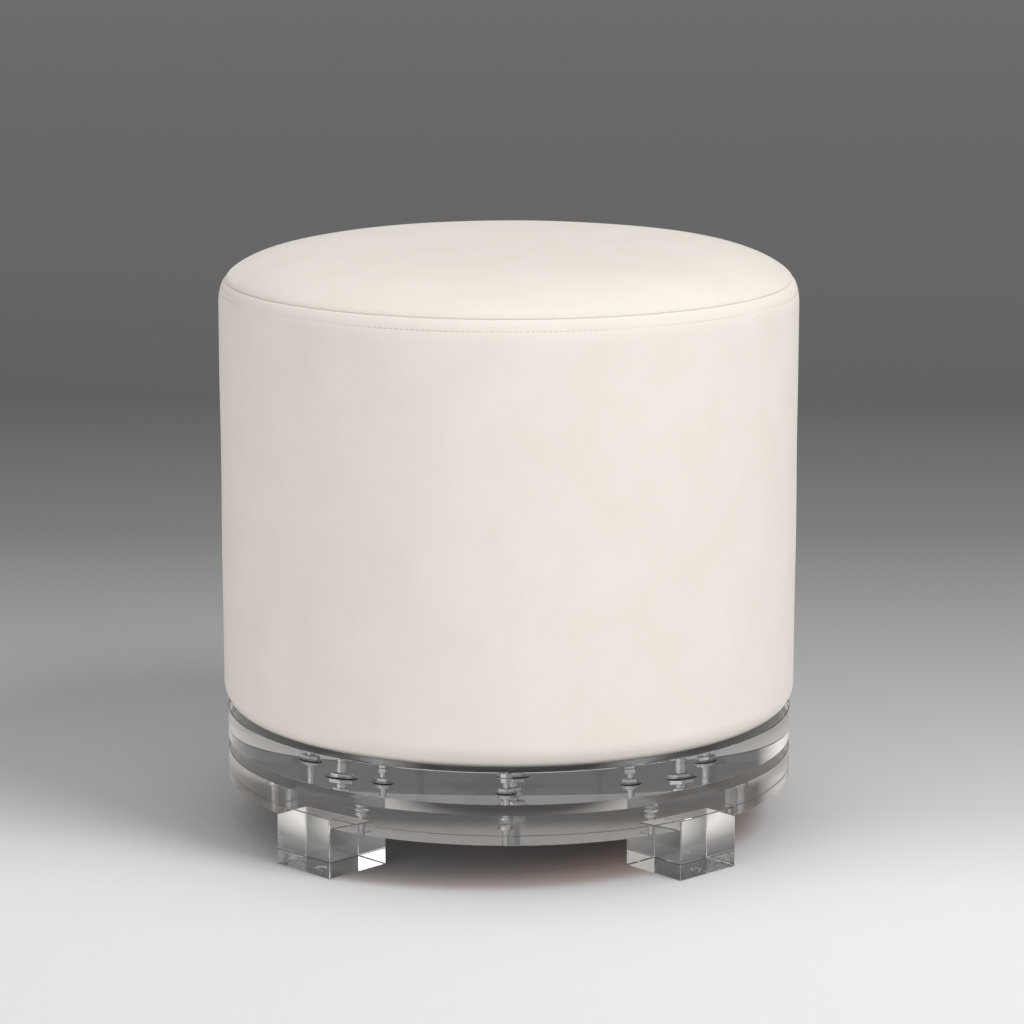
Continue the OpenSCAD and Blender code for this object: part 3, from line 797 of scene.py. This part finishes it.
# The round top is sewn to the side. The edges are turned in together and stand as a thin ridge.
PANEL_STEPS = 480
ridge = arc(seam_r - RIDGE_R / 2, seam_z + 0.0002 + RIDGE_R, RIDGE_R, RIDGE_R, 80, -60, 12)
outer = [(seam_r * share, crown_low + crown(share, seat_high - crown_low)) for share in out_shares(64)[:-1]]
outer += ridge
inner = [((seam_r - COVER_T) * share,
          crown_low - COVER_T + crown(share, seat_high - crown_low)) for share in reversed(out_shares(20))]
bm = bmesh.new()
lathe(bm, outer + inner, PANEL_STEPS)
shade(bm, 1.2)
bm.normal_update()
TOP_WAVE, TOP_WAVE_SIZE, TOP_SLACK, CALM_EDGE = 0.0008, 0.11, 0.0004, 0.03
for v in bm.verts:
    edge = seam_r - v.co.xy.length
    if v.normal.z < -0.2 and edge > COVER_T:
        continue
    move = TOP_WAVE * noise.noise(v.co / TOP_WAVE_SIZE + Vector((3, 0, 0))) - TOP_SLACK
    v.co += v.normal * move * min(1, max(0, edge) / CALM_EDGE)
top_panel = new_piece("top_panel_fabric", bm, [microsuede], "seat", ["top_panel"])

# A row of topstitching runs round below the ridge and holds the turned-in edges flat. The thread is
# bonded polyester, each stitch pulled down into the nap between two needle holes.
thread_stuff, tree = new_material("bonded_polyester_thread")
where = add_node(tree, "TexCoord")
twist = add_node(tree, "TexNoise", {"Scale": 1 / 0.0005, "Detail": 2}, {"Vector": where.outputs["Object"]})
relief = add_node(tree, "Bump", {"Strength": 0.4, "Distance": 0.0001}, {"Height": twist.outputs[0]})
surface = add_node(tree, "BsdfPrincipled", {"Base Color": srgb("#CFC6B8"), "Roughness": 0.6},
                   {"Normal": relief.outputs[0]})
add_node(tree, "OutputMaterial", links={0: surface.outputs[0]})

STITCHES = 333
STITCH_LENGTH, STITCH_T = 0.0033, 0.0006
stitch = bmesh.new()
stitch_form = Matrix.Diagonal((STITCH_T / 2, STITCH_LENGTH / 2, STITCH_T / 2, 1))
bmesh.ops.create_uvsphere(stitch, u_segments=6, v_segments=5, radius=1,
                          matrix=stitch_form @ Matrix.Rotation(math.pi / 2, 4, "X"))
bm = bmesh.new()
SUNK = 0.0004
stamp(bm, stitch, on_circle(stitch_r - SUNK, STITCHES, stitch_z))
shade(bm, 3)
new_piece("topstitching", bm, [thread_stuff], "seat")

# Staples of flattened, galvanized wire hold the hem and the dust cloth to the board.
staple_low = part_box("hem_staples")[0][2]
staple_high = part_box("hem_staples")[1][2]
staple_r = sum(reach("hem_staples")) / 2
STAPLE_W, WIRE = 0.010, 0.0009
wire_line = bpy.data.curves.new("staple_wire", "CURVE")
wire_line.dimensions = "3D"
wire_line.bevel_depth = WIRE / 2
wire_line.bevel_resolution = 1
wire_line.use_fill_caps = True
half = (STAPLE_W - WIRE) / 2
crown_z = staple_low + WIRE / 2
BEND, CUT = 0.001, 0.0003
right_leg = [(half - BEND, crown_z), (half - CUT, crown_z + CUT), (half, crown_z + BEND), (half, staple_high)]
points = [(-y, z) for y, z in reversed(right_leg)] + right_leg
bend_line = wire_line.splines.new("POLY")
bend_line.points.add(len(points) - 1)
for point, (y, z) in zip(bend_line.points, points):
    point.co = (0, y, z, 1)
one_staple = bpy.data.objects.new("staple_wire", wire_line)
bpy.context.collection.objects.link(one_staple)
bent_wire = one_staple.evaluated_get(bpy.context.evaluated_depsgraph_get())
staple_mesh = bpy.data.meshes.new_from_object(bent_wire)
bpy.data.objects.remove(one_staple)
STAPLES = 36
staple = bmesh.new()
staple.from_mesh(staple_mesh)
half_turn = Matrix.Rotation(math.pi / STAPLES, 4, "Z")
bm = bmesh.new()
stamp(bm, staple, [half_turn @ place for place in on_circle(staple_r, STAPLES)])
shade(bm)
new_piece("hem_staple_set", bm, [zinc_steel], "seat", ["hem_staples"])


# Floor
# A pale, matt studio floor in soft light. Its colour is painted shade: lighter in front of the object
# and darker behind it, where the lamps would light it less.
# For clear and shiny pieces it glows instead, with painted light and shade of its own, as if the room
# held dark and bright panels.
paper, tree = new_material("studio_floor_paper")
where = add_node(tree, "TexCoord")
axes = add_node(tree, "SeparateXYZ", links={0: where.outputs["Object"]})


WARM = (1.04, 0.995, 0.965)
NEARLY_NEUTRAL = (0.995, 0.985, 0.998)


def level_ramp(tree, value, low, high, levels, cast=WARM):
    """A ramp over a range of a value, from a list of (value, level), in greys with a colour cast."""
    share = add_node(tree, "MapRange", {"From Min": low, "From Max": high}, {"Value": value})
    ramp = add_node(tree, "ValToRGB", links={"Fac": share.outputs[0]})
    for at, level in levels[1:-1]:
        ramp.color_ramp.elements.new((at - low) / (high - low))
    for stop, (at, level) in zip(ramp.color_ramp.elements, levels):
        stop.position = (at - low) / (high - low)
        stop.color = (*(level * part for part in cast), 1)
    return ramp


# Each level is a share of white at a distance in metres, behind the object where it is positive. The
# levels paint the floor's light and shade into its colour.
PAINTED_FLOOR_SHADE_LEVELS = [(-0.5, 0.85), (-0.3, 0.87), (-0.2, 0.86), (-0.1, 0.78), (0, 0.68), (0.37, 0.53),
                (0.7, 0.41), (1.1, 0.28), (1.9, 0.185), (3.3, 0.23), (9, 0.29)]
tint = level_ramp(tree, axes.outputs["Y"], -0.5, 9, PAINTED_FLOOR_SHADE_LEVELS, NEARLY_NEUTRAL)
surface = add_node(tree, "BsdfDiffuse", links={"Color": tint.outputs[0]})

# What clear and shiny pieces see, as a glow: painted rings of light and shade near the object, and
# painted bands further out.
PAINTED_RING_LEVELS = [(0, 0.05), (0.07, 0.08), (0.11, 0.85), (0.14, 0.25), (0.165, 0.12), (0.23, 0.22),
               (0.34, 0.55), (0.5, 0), (0.8, 0)]
PAINTED_BAND_LEVELS = [(-1, 0.9), (-0.1, 0.25), (0.55, 0.23), (1.2, 0.2)]
from_axis = add_node(tree, "VectorMath", {"operation": "LENGTH"}, {0: where.outputs["Object"]})
near_part = level_ramp(tree, from_axis.outputs["Value"], 0, 0.8, PAINTED_RING_LEVELS)
far_part = level_ramp(tree, axes.outputs["Y"], -1, 1.2, PAINTED_BAND_LEVELS)
beyond = add_node(tree, "MapRange", {"From Min": 0.34, "From Max": 0.5},
                  {"Value": from_axis.outputs["Value"]})
far_share = add_node(tree, "VectorMath", {"operation": "SCALE"},
                     {0: far_part.outputs[0], "Scale": beyond.outputs[0]})
total = add_node(tree, "VectorMath", {"operation": "ADD"}, {0: near_part.outputs[0], 1: far_share.outputs[0]})
# The floor glows with the painted rings and bands for glossy and transmission rays.
glow = add_node(tree, "Emission", links={"Color": total.outputs[0]})
path = add_node(tree, "LightPath")
seen = add_node(tree, "Math", {"operation": "MAXIMUM"},
                {0: path.outputs["Is Glossy Ray"], 1: path.outputs["Is Transmission Ray"]})
either = add_node(tree, "MixShader", links={0: seen.outputs[0], 1: surface.outputs[0], 2: glow.outputs[0]})
add_node(tree, "OutputMaterial", links={0: either.outputs[0]})
# A film of air stays under the feet, so that their polished bottoms reflect as they do on a real floor.
FLOOR_R = 40
bm = bmesh.new()
bmesh.ops.create_circle(bm, cap_ends=True, segments=64, radius=FLOOR_R,
                        matrix=Matrix.Translation((0, 0, -AIR_FILM)))
mesh = bpy.data.meshes.new("studio_floor")
bm.to_mesh(mesh)
bm.free()
mesh.materials.append(paper)
studio_floor = bpy.data.objects.new("studio_floor", mesh)
bpy.context.collection.objects.link(studio_floor)


# Light
# A large soft lamp above and to the right of the object, a weak one from the left, and an even pale
# surround. Clear and shiny pieces see a surround of darker and brighter bands than the one that lights
# the fabric, as the black and white panels round such an object in a studio give.
def lamp(name, position, size, power):
    """A round soft lamp that points at the middle of the object."""
    light = bpy.data.lights.new(name, "AREA")
    light.shape = "DISK"
    light.size = size
    light.energy = power
    holder = bpy.data.objects.new(name, light)
    bpy.context.collection.objects.link(holder)
    aim = Vector((0, 0, 0.25)) - Vector(position)
    holder.matrix_world = Matrix.Translation(position) @ aim.to_track_quat("-Z", "Y").to_matrix().to_4x4()


lamp("key_lamp", position=(1.6, -1.4, 2.6), size=1.2, power=50)
lamp("fill_lamp", position=(-2.2, -2.4, 1.2), size=1.8, power=16)

world = bpy.data.worlds.new("studio_surround")
bpy.context.scene.world = world
world.use_nodes = True
tree = world.node_tree
tree.nodes.clear()
path = add_node(tree, "LightPath")
seen = add_node(tree, "Math", {"operation": "MAXIMUM"},
                {0: path.outputs["Is Camera Ray"], 1: path.outputs["Is Glossy Ray"]})
seen = add_node(tree, "Math", {"operation": "MAXIMUM"},
                {0: seen.outputs[0], 1: path.outputs["Is Transmission Ray"]})
LIT_LEVEL = 0.525
lit = add_node(tree, "Background", {"Color": (LIT_LEVEL, LIT_LEVEL, LIT_LEVEL, 1)})
# Levels by direction, from -1 at the front or left to 1 at the back or right.
ROUND_LEVELS = [(-1, 0.8), (-0.2, 0.3), (0.05, 0.5), (0.3, 0.09), (0.62, 0.09), (0.85, 0.13), (1, 0.1)]
SIDE_LEVELS = [(-1, 1), (-0.9, 1), (-0.75, 0), (1, 0)]
TOP_LEVEL = 0.15
where = add_node(tree, "TexCoord")
axes = add_node(tree, "SeparateXYZ", links={0: where.outputs["Generated"]})
low_part = level_ramp(tree, axes.outputs["Y"], -1, 1, ROUND_LEVELS)
height = add_node(tree, "MapRange", {"From Min": 0.3, "From Max": 0.5}, {"Value": axes.outputs["Z"]})
side_part = level_ramp(tree, axes.outputs["X"], -1, 1, SIDE_LEVELS)
around = add_node(tree, "VectorMath", {"operation": "ADD"}, {0: low_part.outputs[0], 1: side_part.outputs[0]})
around = add_node(tree, "MixRGB", {"Color2": (*(TOP_LEVEL * part for part in WARM), 1)},
                  {"Fac": height.outputs[0], "Color1": around.outputs[0]})
dim = add_node(tree, "Background", links={"Color": around.outputs[0]})
either = add_node(tree, "MixShader", links={0: seen.outputs[0], 1: lit.outputs[0], 2: dim.outputs[0]})
add_node(tree, "OutputWorld", links={0: either.outputs[0]})

# Light has to cross many faces of the clear discs before it leaves them. What goes through them to the
# floor is counted once, in the colour of their shadow.
cycles = bpy.context.scene.cycles
cycles.max_bounces = 48
cycles.glossy_bounces = 32
cycles.transmission_bounces = 32
cycles.transparent_max_bounces = 24
cycles.caustics_refractive = False

# A long lens a little above seat height, far enough away to draw the discs as flat ellipses.
view = bpy.data.cameras.new("camera")
view.sensor_width = 36
view.lens = 136.2
view.shift_x = 3 / 1024
camera = bpy.data.objects.new("camera", view)
TURN, TILT = math.radians(0.93), math.radians(11.64)
AWAY, EYE_HEIGHT = 3.026, 0.873
camera.location = (AWAY * math.sin(TURN), -AWAY * math.cos(TURN), EYE_HEIGHT)
camera.rotation_euler = (math.pi / 2 - TILT, 0, TURN)
bpy.context.collection.objects.link(camera)
bpy.context.scene.camera = camera
bpy.context.scene.view_settings.view_transform = "Standard"
